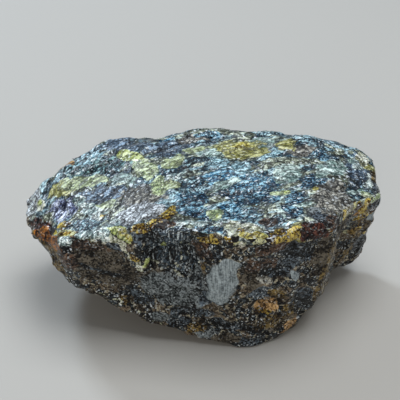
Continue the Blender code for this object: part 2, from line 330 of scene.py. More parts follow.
# %% The places on the crust
CRUST_SPOTS = {
    "ochre": {
        "chip": ((16.1, -20.4, 15.0), 2.7, 1.9, -10),
        "right foot": ((23.0, -17.6, 4.0), 2.6, 1.0, 20),
    },
    "honey": {
        "lobe specks": ((43.4, -2.4, 25.0), 1.2, 2.2),
        "chip": ((15.4, -20.6, 12.2), 1.6, 0.7, -14),
    },
    "rust": {
        "left": ((-27.9, -19.9, 32.1), 4.4, 1.6, -10),
        "left low": ((-33.4, -18.6, 27.0), 2.6, 3.0),
        "right rim": ((17.5, -24.8, 36.0), 4.6, 2.0),
        "beside the hollow": ((0.5, -22.8, 34.0), 2.6, 3.0),
        "right front": ((14.5, -23.6, 30.0), 3.2, 2.6),
        "behind the front rim": ((16.2, -20.6, 39.9), 1.7, 1.8, 85),
        "right of the cherry": ((32.4, -17.0, 37.4), 2.6, 1.8, 20),
        "under the ridge": ((-8.6, -20.6, 38.6), 2.8, 1.0, 10),
    },
    "umber": {
        "low": ((-1.6, -19.6, 5.6), 2.0, 1.2),
        "low left": ((-20.6, -17.8, 13.6), 2.0, 1.0, -20),
        "lower left": ((-37.0, -13.0, 24.0), 4.0, 6.0),
        "foot right": ((19.5, -20.2, 9.0), 4.8, 2.2, 10),
        "right front": ((19.5, -22.0, 18.6), 1.4, 2.4, 30),
        "lobe": ((42.4, 0.6, 23.5), 3.0, 6.5),
        "lobe low": ((39.6, 4.0, 13.0), 1.6, 3.4),
        "right of the chip": ((22.5, -20.0, 12.5), 2.0, 1.6),
    },
    "dust": {
        "front left": ((-24.0, -19.6, 25.4), 9.4, 5.6, -25),
        "front right": ((30.6, -18.0, 28.0), 2.8, 7.0),
        "left of the ash": ((-13.6, -20.6, 22.4), 4.0, 3.4),
        "right of the rub": ((12.4, -23.8, 26.4), 2.0, 3.4),
        "foot": ((6.4, -19.8, 2.6), 3.4, 1.9),
        "low right": ((19.0, -20.0, 6.4), 2.6, 1.6, 10),
    },
    "ash": {
        "front": ((-7.4, -21.0, 19.0), 7.4, 4.4, -12),
        "left of the rub": ((-1.6, -21.8, 23.0), 2.4, 4.0),
        "shoulder": ((30.6, -16.0, 38.8), 4.4, 2.6),
        "lump": ((-11.2, -19.5, 9.4), 2.4, 1.8),
        "by the foot": ((1.4, -19.8, 4.4), 2.2, 1.4),
    },
    "soot": {
        "by the ridge": ((-22.5, -21.0, 33.4), 2.4, 1.0, -30),
        "right front": ((25.0, -21.9, 31.8), 3.6, 2.8),
        "beside the rub": ((1.0, -22.2, 17.7), 1.6, 2.4),
        "lobe": ((44.3, 6.4, 12.6), 2.2, 4.6),
        "low right": ((15.0, -23.4, 20.6), 3.2, 1.9),
        "low middle": ((-2.5, -20.3, 12.0), 5.2, 2.2),
        "low black": ((6.8, -21.0, 7.6), 5.0, 1.5),
        "foot": ((13.4, -20.0, 2.6), 3.4, 1.9),
        "left foot": ((-16.3, -19.5, 14.8), 3.2, 1.9, -20),
        "under the step": ((-13.4, -22.0, 36.8), 4.0, 1.5),
        "low left": ((-6.0, -19.6, 7.4), 3.0, 1.2, -10),
        "under the chip": ((18.6, -21.0, 11.2), 2.6, 0.8, -10),
        "right low": ((25.5, -18.6, 14.0), 3.0, 4.6),
        "right middle": ((20.0, -22.6, 27.6), 3.8, 2.4),
        "under the rim": ((-1.0, -23.0, 34.6), 1.6, 3.2),
        "pit right": ((3.6, -24.2, 33.2), 1.5, 1.1),
        "beside the rub left": ((-0.4, -22.0, 23.4), 0.6, 2.2),
        "right brow": ((22.0, -23.0, 34.0), 3.4, 2.2),
        "shoulder": ((30.8, -16.8, 38.6), 3.6, 2.0),
    },
    # the hollow under the rim: black glass, made darker still as painted shadow from the
    # overhanging rim
    "threaded soot": {
        "hollow": ((-5.6, -19.6, 30.4), 4.6, 5.4),
        "left hollow": ((-11.0, -19.8, 32.0), 3.0, 4.6, 20),
        "hollow brow": ((-6.4, -22.4, 36.4), 6.6, 3.0, 6),
    },
    "rub": {
        "patch": ((4.8, -24.3, 24.0), 3.4, 7.2, -8),
        "patch top": ((6.6, -24.6, 29.8), 2.4, 2.8, -10),
        "patch foot": ((3.4, -23.6, 19.4), 2.2, 2.8, 20),
        "small": ((23.4, -21.3, 24.2), 1.1, 1.9),
    },
    "drab": {"chip": ((15.8, -23.8, 24.6), 2.0, 0.9, -20)},
}
CRUST_RUNS = {
    "rind": {"lobe": (3.6, (42.4, -3.6, 31.6), (43.2, -2.8, 27.6), (43.6, -1.8, 23.0))},
    "soot": {
        "left crack": (0.8, (-32.1, -18.6, 27.0), (-28.3, -19.4, 25.9), (-26.0, -19.6, 24.4),
                       (-24.5, -19.7, 22.4), (-20.7, -20.2, 21.8)),
        "left crack two": (0.5, (-17.4, -21.1, 28.0), (-14.4, -21.5, 30.2)),
    },
    "bone": {
        "keel": (0.3, (-26.0, -17.6, 16.0), (-21.5, -17.8, 12.6), (-15.8, -19.0, 9.4),
                 (-9.4, -19.4, 5.8)),
        "crest": (0.3, (-12.2, -20.3, 27.8), (-8.8, -20.0, 24.8), (-5.1, -21.2, 23.9)),
        "hollow floor": (0.25, (-7.3, -19.2, 26.4), (-5.3, -19.9, 25.2), (-2.8, -20.3, 25.6),
                         (-0.3, -21.4, 28.4)),
        "hollow thread": (0.25, (-5.2, -22.8, 36.0), (-5.3, -20.0, 31.0), (-5.3, -19.2, 27.0)),
        "hollow thread two": (0.22, (-3.2, -22.8, 35.0), (-3.4, -20.2, 31.0), (-3.4, -19.5, 27.6)),
    },
    "umber": {
        "beside the hollow": (0.6, (0.2, -23.0, 35.6), (0.4, -23.0, 31.6), (0.4, -22.4, 28.0)),
        "corner strip": (1.5, (33.4, -17.0, 34.0), (32.2, -17.6, 27.0), (31.4, -17.0, 20.0),
                         (30.0, -16.8, 13.0)),
    },
}
for extra, places in ((CRUST_SPOTS, SPOTS), (CRUST_RUNS, RUNS)):
    for finish, named in extra.items():
        on_crust = {"crust " + name: place for name, place in named.items()}
        places.setdefault(finish, {}).update(on_crust)
print("named places:", sum(len(named) for places in (SPOTS, RUNS) for named in places.values()))

# %% [markdown]
# The far side, the right end and the underside need the same care, but nothing there has to
# match a known spot. So their places are drawn at random from the same finishes, with a fixed
# seed, and only kept where the skin faces away from the front.

# %% Scatter places over the sides that face away
SCATTER_SEED = 31
SCATTERED = {  # how many spots, and the least and the most of half their length, mm
    "dust": (12, 3.5, 8.0), "ash": (7, 3.0, 6.0), "umber": (14, 3.0, 6.5), "soot": (14, 2.5, 6.0),
    "rust": (10, 2.0, 5.0), "honey": (8, 1.0, 2.4), "amber": (5, 1.4, 3.0), "cherry": (6, 1.5, 2.8),
    "rub": (2, 1.5, 3.5), "ochre": (5, 1.2, 2.6), "frost": (3, 1.0, 2.0), "olive": (4, 0.8, 2.0),
    "lime": (3, 0.6, 1.2), "navy": (3, 1.5, 3.5),
}
WIDTHS = (0.4, 0.8)                  # of a spot, over its length
TURNS = (-70, 70)                    # degrees
BACK, UNDER, END = 0.2, -0.45, 0.75  # how far a normal leans to the back, down or to the right
TOO_FLAT, TOO_NEAR = 0.35, -14       # skin past these belongs to the top or to the front
draw = np.random.default_rng(SCATTER_SEED)
faces_away = (normals[:, 1] > BACK) | (normals[:, 2] < UNDER) | (normals[:, 0] > END)
free = (normals[:, 2] < TOO_FLAT) & (points[:, 1] > TOO_NEAR)
away = points[faces_away & free]
for finish, (count, least, most) in SCATTERED.items():
    for number in range(count):
        middle = tuple(draw.choice(away))
        half_length = draw.uniform(least, most)
        half_width = half_length * draw.uniform(*WIDTHS)
        place = (middle, half_length, half_width, draw.uniform(*TURNS))
        SPOTS.setdefault(finish, {})[f"away {number}"] = place
print("spots in all:", sum(len(named) for named in SPOTS.values()))

# %% Store how near each point is to each finish
WANDER_SEED = 2
WANDER_SIZE, WANDER = 3.0, 1.3  # mm, how long and how deep the waves of an outline are
SPREAD = 1.12                   # ovals are drawn this much wider, as ragged borders eat into them
DEEPEST = 4.5                   # mm above or below its middle, where a spot reaches its outline
SAMPLE = 60                     # points under a spot's middle that say how it faces, 4 mm across
ENDS_AT = 1.5                   # a mask ends at this many times its outline
SIDEWAYS = 0.8                  # a spot that faces this far sideways is measured from its end
noise.seed_set(WANDER_SEED)


def stray(point):
    """A small smooth push, so that no oval keeps a clean outline."""
    return noise.noise_vector(Vector(point) / WANDER_SIZE) * WANDER


strayed = points + np.array([stray(point) for point in points])
tree_of_points = KDTree(len(points))
for index, point in enumerate(points):
    tree_of_points.insert(point, index)
tree_of_points.balance()


def near_spot(middle, half_length, half_width, turn=0):
    """1 in the middle of an oval on the skin, 0.5 on its outline and 0 well outside."""
    near = [index for _, index, _ in tree_of_points.find_n(middle, SAMPLE)]
    normal = normals[near].mean(axis=0)
    normal /= np.linalg.norm(normal)
    side = np.array((1.0, 0.0, 0.0) if abs(normal[0]) < SIDEWAYS else (0.0, -1.0, 0.0))
    side -= side.dot(normal) * normal
    side /= np.linalg.norm(side)
    up = np.cross(normal, side)
    angle = math.radians(turn)
    long_way = math.cos(angle) * side + math.sin(angle) * up
    offset = strayed - points[near[0]]
    along = offset @ long_way / half_length
    across = offset @ np.cross(normal, long_way) / half_width
    far = np.sqrt(along ** 2 + across ** 2 + (offset @ normal / DEEPEST) ** 2)
    return np.clip(ENDS_AT - far / SPREAD, 0, 1)


def near_run(half_width, *stops):
    """The same for a ribbon that follows a few points."""
    pinned = [points[tree_of_points.find(stop)[1]] for stop in stops]
    nearest = np.full(len(points), np.inf)
    for start, end in zip(pinned, pinned[1:]):
        way = end - start
        share = np.clip((strayed - start) @ way / way.dot(way), 0, 1)
        off = np.linalg.norm(strayed - start - share[:, None] * way, axis=1)
        nearest = np.minimum(nearest, off)
    return np.clip(ENDS_AT - nearest / half_width, 0, 1)


for finish in sorted({*SPOTS, *RUNS}):
    masks = [near_spot(*place) for place in SPOTS.get(finish, {}).values()]
    masks += [near_run(*place) for place in RUNS.get(finish, {}).values()]
    mask = np.max(masks, axis=0)
    stored = skin.data.attributes.new(finish, "FLOAT", "POINT")
    stored.data.foreach_set("value", mask.astype(np.float32))
    print(f"{finish}: {100 * (mask > 0.5).mean():.1f}% of the skin")

# %% [markdown]
# ## Helpers for nodes
#
# Both the material and the relief are node trees, and both are long. One helper adds any node:
# it sets the node's properties, and fills each input with a number or links it to an earlier
# output. It returns the new node's outputs, so that trees read from top to bottom like sums.

# %% Add a node to a tree
def add(tree, kind, inputs=None, **settings):
    """Adds a node, sets its properties, fills or links its inputs, and returns its outputs.

    A kind without "Node" in its name is one of the ShaderNode kinds, which both trees can hold.
    """
    node = tree.nodes.new(kind if "Node" in kind else "ShaderNode" + kind)
    for name, value in settings.items():
        setattr(node, name, value)
    for key, value in (inputs or {}).items():
        if isinstance(value, bpy.types.NodeSocket):
            tree.links.new(value, node.inputs[key])
        else:
            node.inputs[key].default_value = value
    return node.outputs


def told(step, tree):
    """Says how far a tree has grown with this step."""
    print(f"{step}: {len(tree.nodes)} nodes so far")


# %% Turn a random colour to a push, and a hex colour to numbers
def push(tree, chance, size):
    """A push that way or the other, from a random colour. From one end to the other it is size."""
    centred = add(tree, "VectorMath", {0: chance, 1: (0.5, 0.5, 0.5)}, operation="SUBTRACT")[0]
    return add(tree, "VectorMath", {0: centred, "Scale": size}, operation="SCALE")[0]


def linear(colour):
    """An sRGB hex colour, as #rrggbb, turned to the linear numbers that shaders take."""
    parts = [int(colour[start:start + 2], 16) / 255 for start in (1, 3, 5)]
    light = (p / 12.92 if p <= 0.04045 else ((p + 0.055) / 1.055) ** 2.4 for p in parts)
    return (*light, 1.0)


print("mid grey sends back", round(linear("#808080")[0], 2), "of the light")


# %% [markdown]
# ## The material: weathered amber
#
# The resin itself is clear, with an index of refraction of 1.54, and it swallows blue light
# first, so a thick piece looks orange to red. Weathering has crazed the skin into small
# crystals. Each reflects on its own: that gives the salt-and-pepper look.
#
# One material carries all the finishes. The other way, a material for each finish, would put
# hard borders between the faces of one and the next, and real borders here are ragged.
#
# Two sets of cells do most of the work. On the top the resin has split into long plates, and
# on the crust it has rotted into clods. Both are made when the relief is grown, further down,
# which leaves their coordinates on the skin, so that a plate's colour and its step agree.

# %% Start the material and its coordinates
amber = bpy.data.materials.new("weathered_raw_amber")
amber.use_nodes = True
shade = amber.node_tree
shade.nodes.clear()
space, along_flow, plate_at, clod_at = (
    add(shade, "Attribute", attribute_name=name)["Vector"]
    for name in ("rest", "flow", "plate_at", "clod_at"))
is_top, relief_height = (
    add(shade, "Attribute", attribute_name=name)["Fac"] for name in ("top", "relief"))
told("coordinates", shade)

# %% Find the grains, the plates, the blocks of plates and the clods
GRAIN = (0.4, 0.4, 0.4)               # mm. Real grains are finer, and too fine to show
RAGGED_EDGE = 0.25                    # how far grains shift a plate's edge, in plates
BLOCK_IN_PLATES = (0.40, 0.33, 0.33)  # one over how many plates a block holds each way
patterns = {}


def sized(where, size):
    """Coordinates in millimetres, turned to counts of a pattern of this size."""
    return add(shade, "Mapping", {"Vector": where, "Scale": size}, vector_type="TEXTURE")["Vector"]


def cells(where, name):
    """A pattern of cells. It keeps each cell's two chances by name, and returns the outputs."""
    found = add(shade, "TexVoronoi", {"Vector": where, "Scale": 1.0})
    parts = add(shade, "SeparateColor", {"Color": found["Color"]})
    patterns[name + " tone"], patterns[name + " chance"] = parts["Red"], parts["Green"]
    return found


grain_at = sized(space, GRAIN)
grain = cells(grain_at, "grain")["Color"]
plate_at = add(shade, "VectorMath", {
    0: plate_at, 1: push(shade, grain, RAGGED_EDGE)}, operation="ADD")[0]
plate = cells(plate_at, "plate")
block_at = add(shade, "VectorMath", {
    0: plate["Position"], 1: BLOCK_IN_PLATES}, operation="MULTIPLY")[0]
cells(block_at, "block")
cells(clod_at, "clod")
for name, where in (("plate", plate_at), ("clod", clod_at)):
    patterns[name + " edge"] = add(shade, "TexVoronoi", {"Vector": where, "Scale": 1.0},
                                   feature="DISTANCE_TO_EDGE")["Distance"]
told("cells", shade)

# %% Turn each block's shards its own way, and find the shards
SHARD = (0.70, 0.36, 0.36)  # mm, one crazed crystal of the top. On the crust it is one grain
MOST_TURN = 1.9             # radians, from the block turned most one way to the other
turn = add(shade, "Math", {0: patterns["block chance"], 1: MOST_TURN, 2: -MOST_TURN / 2},
           operation="MULTIPLY_ADD")[0]
turned = add(shade, "VectorRotate", {
    "Vector": along_flow, "Angle": turn}, rotation_type="Z_AXIS")[0]
all_top = add(shade, "Math", {0: is_top, 1: 0.5}, operation="GREATER_THAN")[0]
shard_at = add(shade, "Mix", {
    0: all_top, 4: grain_at, 5: sized(turned, SHARD)}, data_type="VECTOR")[1]
shard = cells(shard_at, "shard")["Color"]
told("shards", shade)

# %% Add the streaks, the flecks and the scratches
ROUGH = 0.6             # how much of each noise is in its fine detail
MIDDLE = (0.32, 0.68)   # noise crowds round a half, so this much of it is stretched to 0 to 1
for name, where, size, detail in (  # sizes in mm
    ("streak", turned, (3.4, 0.5, 0.5), 3.0),
    ("band", along_flow, (15.0, 3.2, 3.2), 2.0),
    ("fleck", space, (1.2, 1.2, 1.2), 3.0),
    ("speckle", space, (0.6, 0.6, 0.6), 3.0),
    ("mottle", space, (5.0, 5.0, 5.0), 2.0),
    ("vein", space, (3.4, 3.4, 3.4), 2.0),
    ("scratch", space, (0.4, 0.4, 6.0), 1.0),
    ("drip", space, (0.45, 0.45, 5.0), 2.0),
):
    found = add(shade, "TexNoise", {
        "Vector": sized(where, size), "Scale": 1.0, "Detail": detail, "Roughness": ROUGH})
    patterns[name] = add(shade, "MapRange", {
        "Value": found[0], "From Min": MIDDLE[0], "From Max": MIDDLE[1]})["Result"]
print("patterns:", ", ".join(patterns))

# %% [markdown]
# ## Tones
#
# Every finish runs from a dark tone over a middle one to a light one. Two recipes say where
# the dark and the light fall. On the top they follow the flow: plates, blocks of plates,
# streaks and shards, roughened by grains. On the crust they have no direction: single grains,
# clods and broad mottling. The top gives way to the crust along a ragged line.

# %% Mix the patterns into one tone
RECIPES = {
    "top": {"plate tone": 0.23, "block tone": 0.13, "streak": 0.10, "shard tone": 0.22,
            "fleck": 0.07, "grain tone": 0.25},
    "crust": {"speckle": 0.16, "shard tone": 0.40, "mottle": 0.20, "clod tone": 0.24},
}
TONES = (0.335, 0.665)             # sums crowd round a half too, and are stretched in turn
RIM_FLECKS, RIM = 0.5, (0.65, 0.85)  # how flecks break the rim, and where crust ends, top starts


def weighed(shares, total=0.0):
    """A sum of named patterns, each times its share."""
    for name, share in shares.items():
        total = add(shade, "Math", {
            0: patterns[name], 1: share, 2: total}, operation="MULTIPLY_ADD")[0]
    return total


tones = {}
for name, recipe in RECIPES.items():
    tones[name] = add(shade, "MapRange", {
        "Value": weighed(recipe), "From Min": TONES[0], "From Max": TONES[1]})["Result"]
ragged_top = add(shade, "MapRange", {
    "Value": weighed({"fleck": RIM_FLECKS}, is_top), "From Min": RIM[0], "From Max": RIM[1]},
    interpolation_type="SMOOTHSTEP")["Result"]
tone = add(shade, "Mix", {0: ragged_top, 2: tones["crust"], 3: tones["top"]})[0]
to_middle = add(shade, "MapRange", {"Value": tone, "From Max": 0.5})["Result"]
to_light = add(shade, "MapRange", {"Value": tone, "From Min": 0.5})["Result"]
told("tone", shade)


# %% Run colours through the tone, and mark colours with a pattern
def tinted(dark, middle, light):
    """A colour that runs through three hex colours with the tone."""
    lower = add(shade, "Mix", {
        0: to_middle, 6: linear(dark), 7: linear(middle)}, data_type="RGBA")[2]
    return add(shade, "Mix", {0: to_light, 6: lower, 7: linear(light)}, data_type="RGBA")[2]


def marked(under, pattern, starts, full, most, tint, share=1.0):
    """A colour with a tint laid where a pattern is between these numbers, times a share."""
    here = add(shade, "MapRange", {
        "Value": patterns[pattern], "From Min": starts, "From Max": full, "To Max": most})["Result"]
    here = add(shade, "Math", {0: here, 1: share}, operation="MULTIPLY")[0]
    return add(shade, "Mix", {0: here, 6: under, 7: linear(tint)}, data_type="RGBA")[2]


# %% [markdown]
# ## The ground
#
# Between the named places the top is plates of two kinds, blue-black to ice and olive to bone.
# The crust is of two kinds too: fresh breaks of nearly black glass, which are smooth, and brown
# rotted resin, which is dull and keeps the dust. Over both run fine lines, along veins and
# round the clods: open black cracks, and pale threads where dry resin has filled them.
#
# The surface travels beside the colour as one vector of three numbers: roughness, how clear it
# is, and how strongly its crystals lean. That saves two mixes for each finish.

# %% Lay the ground of the top
PLATE_KINDS = (0.92, 1.22)       # of band and block together: blue plates below, olive above
PLATE_SURFACE = (0.30, 0.06, 0.9)
blue_plates = tinted("#040e15", "#2b4f62", "#c4e6ec")
olive_plates = tinted("#12160f", "#6c7460", "#dee6d0")
which = add(shade, "MapRange", {"Value": weighed({"band": 1.0, "block chance": 1.0}),
                                "From Min": PLATE_KINDS[0], "From Max": PLATE_KINDS[1]})["Result"]
top_ground = add(shade, "Mix", {0: which, 6: blue_plates, 7: olive_plates}, data_type="RGBA")[2]
told("ground of the top", shade)

# %% Lay the ground of the crust
EARTHY = {"mottle": 0.45, "clod chance": 0.45, "speckle": 0.10}
CRUST_KINDS = (0.47, 0.51)       # of that sum: glass below, earthy resin above
GLASS_SURFACE, EARTH_SURFACE = (0.18, 0.0, 0.7), (0.55, 0.0, 0.4)
glass = tinted("#010202", "#06080a", "#465056")
earth = tinted("#0c0906", "#3a3026", "#7c6e5a")
earthy = add(shade, "MapRange", {
    "Value": weighed(EARTHY),
    "From Min": CRUST_KINDS[0], "From Max": CRUST_KINDS[1]})["Result"]
crust_ground = add(shade, "Mix", {0: earthy, 6: glass, 7: earth}, data_type="RGBA")[2]
crust_surface = add(shade, "Mix", {
    0: earthy, 4: GLASS_SURFACE, 5: EARTH_SURFACE}, data_type="VECTOR")[1]
told("ground of the crust", shade)

# %% Draw the cracks and the threads
LINES = {  # in the fleck pattern: where a line starts and is full, how much, colour
    "cracks": (0.44, 0.28, 0.9, "#040303"), "threads": (0.54, 0.68, 0.9, "#bcb49a"),
}
VEIN_LINE, CLOD_LINE = (0.015, 0.06), (0.01, 0.05)  # half as wide: the full part, the whole line
off_vein = add(shade, "Math", {0: patterns["vein"], 1: 0.5}, operation="SUBTRACT")[0]
off_vein = add(shade, "Math", {0: off_vein}, operation="ABSOLUTE")[0]
line = 0.0
for distance, (full, none) in ((off_vein, VEIN_LINE), (patterns["clod edge"], CLOD_LINE)):
    near = add(shade, "MapRange", {"Value": distance, "From Min": full, "From Max": none,
                                   "To Min": 1.0, "To Max": 0.0})["Result"]
    line = add(shade, "Math", {0: near, 1: line}, operation="MAXIMUM")[0]
for numbers in LINES.values():
    crust_ground = marked(crust_ground, "fleck", *numbers, share=line)
colour = add(shade, "Mix", {0: ragged_top, 6: crust_ground, 7: top_ground}, data_type="RGBA")[2]
surface = add(shade, "Mix", {
    0: ragged_top, 4: crust_surface, 5: PLATE_SURFACE}, data_type="VECTOR")[1]
told("cracks and threads", shade)

# %% [markdown]
# ## The finishes
#
# Each finish is three tones and its surface: roughness, how clear it is, and how strongly its
# crystals lean. They are laid one over the next, from the dull crust to the clear windows. The
# mask's even slope is broken up by the tone and by the chance of each plate or clod before it
# is cut at a half, so that a border comes out feathered along the flow.
#
# Three places need more. The rind along the rim shows a little of everything, one clod honey
# and the next black or bone. Pale drips of dry resin hang down the black hollow under the rim,
# which is dark glass made darker still by painted shadow from the overhanging rim. And the rub,
# where a tool or a stone has worn the lump flat, is matt grey with upright scratches.

# %% Name the tones and the surface of each finish
FINISHES = {
    "dust": ("#14110d", "#3d372e", "#6c6558", 0.75, 0.0, 0.15),
    "ash": ("#101314", "#414748", "#858d8f", 0.66, 0.0, 0.3),
    "soot": ("#010203", "#06090c", "#66727c", 0.22, 0.0, 0.5),
    # the hollow's black is partly real dark glass and partly painted shadow from the rim above it
    "threaded soot": ("#010102", "#05080b", "#4e5e6a", 0.16, 0.0, 0.6),
    "umber": ("#0c0803", "#38290f", "#8e7846", 0.45, 0.0, 0.4),
    "rust": ("#060302", "#281810", "#745a46", 0.38, 0.1, 0.5),
    "drab": ("#201e1b", "#68665f", "#bebcb0", 0.42, 0.0, 0.6),
    "slate": ("#070f18", "#384a5c", "#9cb4c8", 0.34, 0.05, 0.8),
    "navy": ("#031220", "#1a405a", "#9ccadc", 0.22, 0.1, 0.9),
    "teal": ("#040f15", "#264853", "#a6cecc", 0.26, 0.05, 0.8),
    "violet": ("#181a34", "#626e96", "#dde6fa", 0.30, 0.1, 0.9),
    # sky: dark glassy resin under a painted blue sheen
    "sky": ("#05263c", "#337294", "#b4e2f2", 0.26, 0.1, 0.9),
    "ice": ("#2c525e", "#96bec8", "#daf4f8", 0.30, 0.0, 0.6),
    "mist": ("#39524e", "#98b0a8", "#e2f4ec", 0.32, 0.0, 0.5),
    "olive": ("#646228", "#a4a25a", "#d8d8a4", 0.34, 0.1, 0.35),
    "sage": ("#6a7650", "#a6b282", "#d8e4bc", 0.36, 0.1, 0.35),
    "lilac": ("#2a2926", "#868a8c", "#e2eaee", 0.42, 0.0, 0.6),
    "cream": ("#586a48", "#b4c490", "#ecf6d8", 0.36, 0.05, 0.4),
    "bone": ("#4e5034", "#c2c6a6", "#fdfdf0", 0.36, 0.05, 0.5),
    "frost": ("#46585a", "#a6bcb8", "#f6fdf6", 0.34, 0.0, 0.8),
    "lime": ("#707a38", "#bac672", "#edf5b8", 0.26, 0.15, 0.3),
    "ochre": ("#2c1d0a", "#8c683a", "#dcb47c", 0.40, 0.0, 0.5),
    "honey": ("#1c1002", "#72520a", "#ecd268", 0.18, 0.25, 0.45),
    "gold": ("#74641a", "#beb254", "#f2ec9e", 0.24, 0.15, 0.3),
    "cherry": ("#060201", "#300d07", "#8a5442", 0.12, 0.4, 0.35),
    "amber": ("#241206", "#7c481a", "#c48038", 0.14, 0.12, 0.05),
}
print("finishes with three tones:", len(FINISHES))

# %% Lay one finish
RAGGED = {"tone": 0.14, "chance": 0.34}  # how much each breaks up a border
BORDER = 0.07                            # half of a border's width, in the mask
patterns["tone"] = tone
patterns["chance"] = add(shade, "Mix", {
    0: ragged_top, 2: patterns["clod chance"], 3: patterns["plate chance"]})[0]


def laid(name, tint, finish_surface, ragged=1.0):
    """The colour and the surface, with this finish laid over them where its places are."""
    mask = add(shade, "Attribute", attribute_name=name)["Fac"]
    broken = weighed({pattern: ragged * share for pattern, share in RAGGED.items()}, mask)
    broken = add(shade, "Math", {0: broken, 1: ragged * sum(RAGGED.values()) / 2},
                 operation="SUBTRACT")[0]
    cover = add(shade, "MapRange", {
        "Value": broken, "From Min": 0.5 - BORDER, "From Max": 0.5 + BORDER},
        interpolation_type="SMOOTHSTEP")["Result"]
    return (add(shade, "Mix", {0: cover, 6: colour, 7: tint}, data_type="RGBA")[2],
            add(shade, "Mix", {0: cover, 4: surface, 5: finish_surface}, data_type="VECTOR")[1])


# %% Lay the rind of the rim
RIND = {0.0: "#080604", 0.22: "#1c100a", 0.38: "#4a2a10", 0.52: "#9c6a16", 0.62: "#a89a34",
        0.74: "#cdd2b0", 0.86: "#566c78", 1.0: "#dcebe9"}  # by the clod's chance
RIND_SHINE = (0.15, 1.5)                                   # times the colour, from dark to light
RIND_SURFACE = (0.25, 0.15, 0.8)
mixed = add(shade, "ValToRGB", {"Fac": patterns["clod chance"]})["Color"]
elements = mixed.node.color_ramp.elements
while len(elements) < len(RIND):
    elements.new(1.0)
for element, (where, tint) in zip(elements, RIND.items()):
    element.position = where
    element.color = linear(tint)
shine = add(shade, "MapRange", {
    "Value": tone, "To Min": RIND_SHINE[0], "To Max": RIND_SHINE[1]})["Result"]
mixed = add(shade, "Mix", {0: 1.0, 6: mixed, 7: shine}, data_type="RGBA", blend_type="MULTIPLY")[2]
colour, surface = laid("rind", mixed, RIND_SURFACE)
told("rind", shade)

# %% Lay the other finishes, and the rub last
DRIPS = (0.74, 0.86, 1.0, "#ccd8dc")          # in the drip pattern: start, full, how much, colour
SCRATCHES = (0.2, 1.7, "#4e585c", "#bac6ca")  # in scratch and speckle together: dark to light
RUB_SURFACE, RUB_RAGGED = (0.62, 0.0, 0.1), 0.2
for name, (dark, middle, light, *finish_surface) in FINISHES.items():
    tint = tinted(dark, middle, light)
    if name == "threaded soot":
        tint = marked(tint, "drip", *DRIPS)
    colour, surface = laid(name, tint, tuple(finish_surface))
least, most, dark, light = SCRATCHES
scratched = add(shade, "MapRange", {
    "Value": weighed({"scratch": 1.0, "speckle": 1.0}),
    "From Min": least, "From Max": most})["Result"]
scratched = add(shade, "Mix", {
    0: scratched, 6: linear(dark), 7: linear(light)}, data_type="RGBA")[2]
colour, surface = laid("rub", scratched, RUB_SURFACE, RUB_RAGGED)
print("finishes:", len(FINISHES) + 2)

# %% [markdown]
# ## Specks, gaps and crystals
#
# Last come the smallest things: black pores one shard wide, painted glints of white one shard
# wide and finer, a painted highlight along the rim, painted shade in the gaps between the
# plates of the top and in all hollows, and the lean of each crystal. A crystal's lean is a push
# on the surface's normal that stays the same over one cell, which is what makes some flash and
# others stay dark. A bump alone would only ripple the light. The painted shade stands for light
# that falls into gaps and hollows and doesn't come out again, and darkens them by multiplying.

# %% Add the specks, painted glints among them, and a painted highlight along the rim
SPECKS = {  # pattern, where it starts and is full, how much, colour
    "pore": ("shard chance", 0.16, 0.10, 0.9, "#040609"),
    # painted glints: white specks, one shard wide and finer, that stand for light flashing off
    # single crystals
    "painted glint": ("shard chance", 0.92, 0.96, 0.9, "#f4fcff"),
    "painted fine glint": ("speckle", 0.86, 1.0, 0.8, "#e8f6fb"),
}
RIM_MIDDLE, RIM_FULL, RIM_NONE = 0.55, 0.1, 0.4  # in is_top, and how far off it the painted highlight ends
# painted highlight: broken pale streaks along the rim, standing for glints where its edge catches
# the light
RIM_GLINT_STREAKS = (0.45, 0.6, 1.0, "#e4eee4")
RIM_BREAKS = (0.45, 0.65)
rough, clear, lean = add(shade, "SeparateXYZ", {0: surface})
for speck in SPECKS.values():
    colour = marked(colour, *speck, share=lean)
off_rim = add(shade, "Math", {0: is_top, 1: RIM_MIDDLE}, operation="SUBTRACT")[0]
off_rim = add(shade, "Math", {0: off_rim}, operation="ABSOLUTE")[0]
rim = add(shade, "MapRange", {"Value": off_rim, "From Min": RIM_FULL, "From Max": RIM_NONE,
                              "To Min": 1.0, "To Max": 0.0})["Result"]
breaks = add(shade, "MapRange", {"Value": patterns["fleck"], "From Min": RIM_BREAKS[0],
                                 "From Max": RIM_BREAKS[1]})["Result"]
rim = add(shade, "Math", {0: rim, 1: breaks}, operation="MULTIPLY")[0]
colour = marked(colour, "streak", *RIM_GLINT_STREAKS, share=rim)
told("specks and rim", shade)

# %% Paint shade into the gaps and the hollows
# painted shade: the edges of the plates and the low parts of the relief are darkened, for light
# that falls in and doesn't come out
GAP_SHADE = (0.02, 0.14, 0.2)  # plates from a plate's edge: darkest, clear again, and how dark
HOLLOW_SHADE = (-1.2, 0.0, 0.2)  # the same for painted shade in the hollows, by the relief's height, mm
gap_shade, hollow_shade = (
    add(shade, "MapRange", {
        "Value": value, "From Min": start, "From Max": end, "To Min": least})["Result"]
    for value, (start, end, least) in ((patterns["plate edge"], GAP_SHADE), (relief_height, HOLLOW_SHADE)))
gap_shade = add(shade, "Mix", {0: ragged_top, 2: 1.0, 3: gap_shade})[0]
for darker in (gap_shade, hollow_shade):
    colour = add(shade, "Mix", {
        0: 1.0, 6: colour, 7: darker}, data_type="RGBA", blend_type="MULTIPLY")[2]
told("gaps and hollows", shade)

